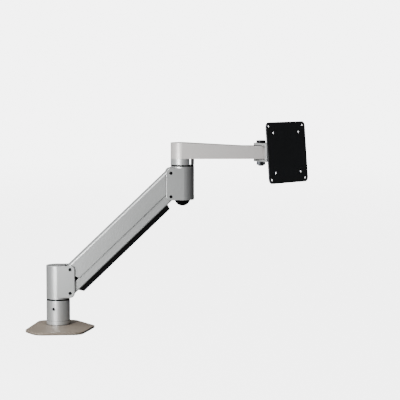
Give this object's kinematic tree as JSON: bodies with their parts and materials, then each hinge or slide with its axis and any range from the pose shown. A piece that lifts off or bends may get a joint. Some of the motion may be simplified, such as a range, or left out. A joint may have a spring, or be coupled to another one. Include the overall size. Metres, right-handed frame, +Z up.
{
  "type": "monitor arm",
  "caption": "Desk monitor arm: swivel base with oval foot plate, gas-sprung parallelogram lift arm, swinging forearm and a panning, tilting screen plate.",
  "frame": {"origin": "on the base swivel's axis, at the underside of the foot pad", "axes": "+Z up along the swivel axis, +X along the lift arm at rest, +Y to the arm's left side"},
  "size_m": [0.537, 0.1547, 0.3922],
  "materials": {
    "silver_paint": "satin silver powder paint on cast and folded aluminium",
    "plate_paint": "satin bronze-grey paint on steel plate",
    "rubber": "matte",
    "black_plastic": "moulded nylon",
    "grey_plastic": "moulded",
    "black_steel": "black oxide",
    "zinc_steel": "zinc plated",
    "chrome_steel": "ground and chromed",
    "spring_paint": "black gloss paint"
  },
  "bodies": {
    "base": {"base_pad": "rubber", "base_plate": "plate_paint", "base_tube": "silver_paint", "base_bush": "black_plastic", "base_screw_1": "zinc_steel", "base_screw_2": "zinc_steel", "base_screw_3": "zinc_steel", "base_set_screw": "black_steel"},
    "column": {"lower_knuckle": "silver_paint", "lower_post": "zinc_steel", "lower_post_bolt": "black_steel", "lower_knuckle_cap": "grey_plastic", "lower_knuckle_near_pin": "black_steel", "lower_knuckle_far_pin": "black_steel", "spring_anchor": "zinc_steel", "spring_anchor_pin": "zinc_steel", "lift_adjust_screw": "black_steel"},
    "upper_link": {"upper_channel": "silver_paint", "upper_channel_near_sleeve": "black_plastic", "upper_channel_far_sleeve": "black_plastic", "gas_spring_bracket": "zinc_steel", "gas_spring_pin": "zinc_steel"},
    "lower_link": {"lower_channel": "silver_paint", "lower_channel_near_sleeve": "black_plastic", "lower_channel_far_sleeve": "black_plastic", "cable_cover": "black_plastic"},
    "spring_rod": {"gas_rod": "chrome_steel", "gas_rod_eye": "black_steel"},
    "spring_cylinder": {"gas_cylinder": "spring_paint", "gas_cylinder_gland": "black_plastic", "gas_cylinder_eye": "black_steel"},
    "elbow": {"upper_knuckle": "silver_paint", "upper_knuckle_near_pin": "black_steel", "upper_knuckle_far_pin": "black_steel", "upper_bush": "black_plastic", "knuckle_plug": "black_plastic"},
    "forearm_beam": {"forearm": "silver_paint", "forearm_cover": "grey_plastic", "forearm_post": "zinc_steel", "post_washer": "zinc_steel", "post_bolt": "black_steel", "pan_bush": "black_plastic"},
    "yoke": {"head_yoke": "silver_paint", "pan_washer_upper": "black_plastic", "pan_washer_lower": "black_plastic", "pan_bolt": "black_steel", "pan_nut": "zinc_steel", "tilt_screw_left": "black_steel", "tilt_screw_right": "black_steel", "tilt_washer_left": "black_plastic", "tilt_washer_right": "black_plastic"},
    "tilter": {"tilt_block": "silver_paint", "roll_washer": "black_plastic"},
    "head_plate": {"vesa_plate": "black_steel", "roll_spindle": "zinc_steel", "roll_nut": "zinc_steel"}
  },
  "joints": [
    {"name": "base_swivel", "type": "hinge", "parent": "base", "child": "column", "pos_m": [0, 0, 0.0545], "axis": [0, 0, 1], "continuous": true},
    {"name": "arm_lift", "type": "hinge", "parent": "column", "child": "upper_link", "pos_m": [0.023, 0, 0.1115], "axis": [0, -1, 0], "range_deg": [-68.6, 8.4]},
    {"name": "lower_link_lift", "type": "hinge", "parent": "column", "child": "lower_link", "pos_m": [0.023, 0, 0.0665], "axis": [0, -1, 0], "range_deg": [-68.7, 8.5]},
    {"name": "elbow_level", "type": "hinge", "parent": "upper_link", "child": "elbow", "pos_m": [0.21491, 0, 0.29425], "axis": [0, -1, 0], "range_deg": [-8.5, 68.7]},
    {"name": "gas_rod_swing", "type": "hinge", "parent": "column", "child": "spring_rod", "pos_m": [0.027, 0, 0.089], "axis": [0, -1, 0], "range_deg": [-68.7, 8.5]},
    {"name": "gas_cylinder_slide", "type": "slide", "parent": "spring_rod", "child": "spring_cylinder", "axis": [0.6934, 0, 0.7205], "range_m": [-0.0258, 0.0034]},
    {"name": "forearm_swivel", "type": "hinge", "parent": "elbow", "child": "forearm_beam", "pos_m": [0.23791, 0, 0.30875], "axis": [0, 0, 1], "range_deg": [-136, 144]},
    {"name": "head_pan", "type": "hinge", "parent": "forearm_beam", "child": "yoke", "pos_m": [0.38754, -0.01046, 0.3331], "axis": [0, 0, -1], "range_deg": [-142, 58]},
    {"name": "head_tilt", "type": "hinge", "parent": "yoke", "child": "tilter", "pos_m": [0.41811, -0.04211, 0.3331], "axis": [-0.7193, -0.6947, 0], "range_deg": [-50, 55]},
    {"name": "plate_roll", "type": "hinge", "parent": "tilter", "child": "head_plate", "pos_m": [0.41811, -0.04211, 0.3331], "axis": [0.692, -0.7166, 0.0872], "range_deg": [-90, 90]}
  ],
  "couplings": [
    {"joint": "lower_link_lift", "follows": "arm_lift", "ratio": 1},
    {"joint": "elbow_level", "follows": "arm_lift", "ratio": -1},
    {"joint": "gas_rod_swing", "follows": "arm_lift", "ratio": 0.9844},
    {"joint": "gas_cylinder_slide", "follows": "arm_lift", "m_per_rad": 0.02136}
  ]
}
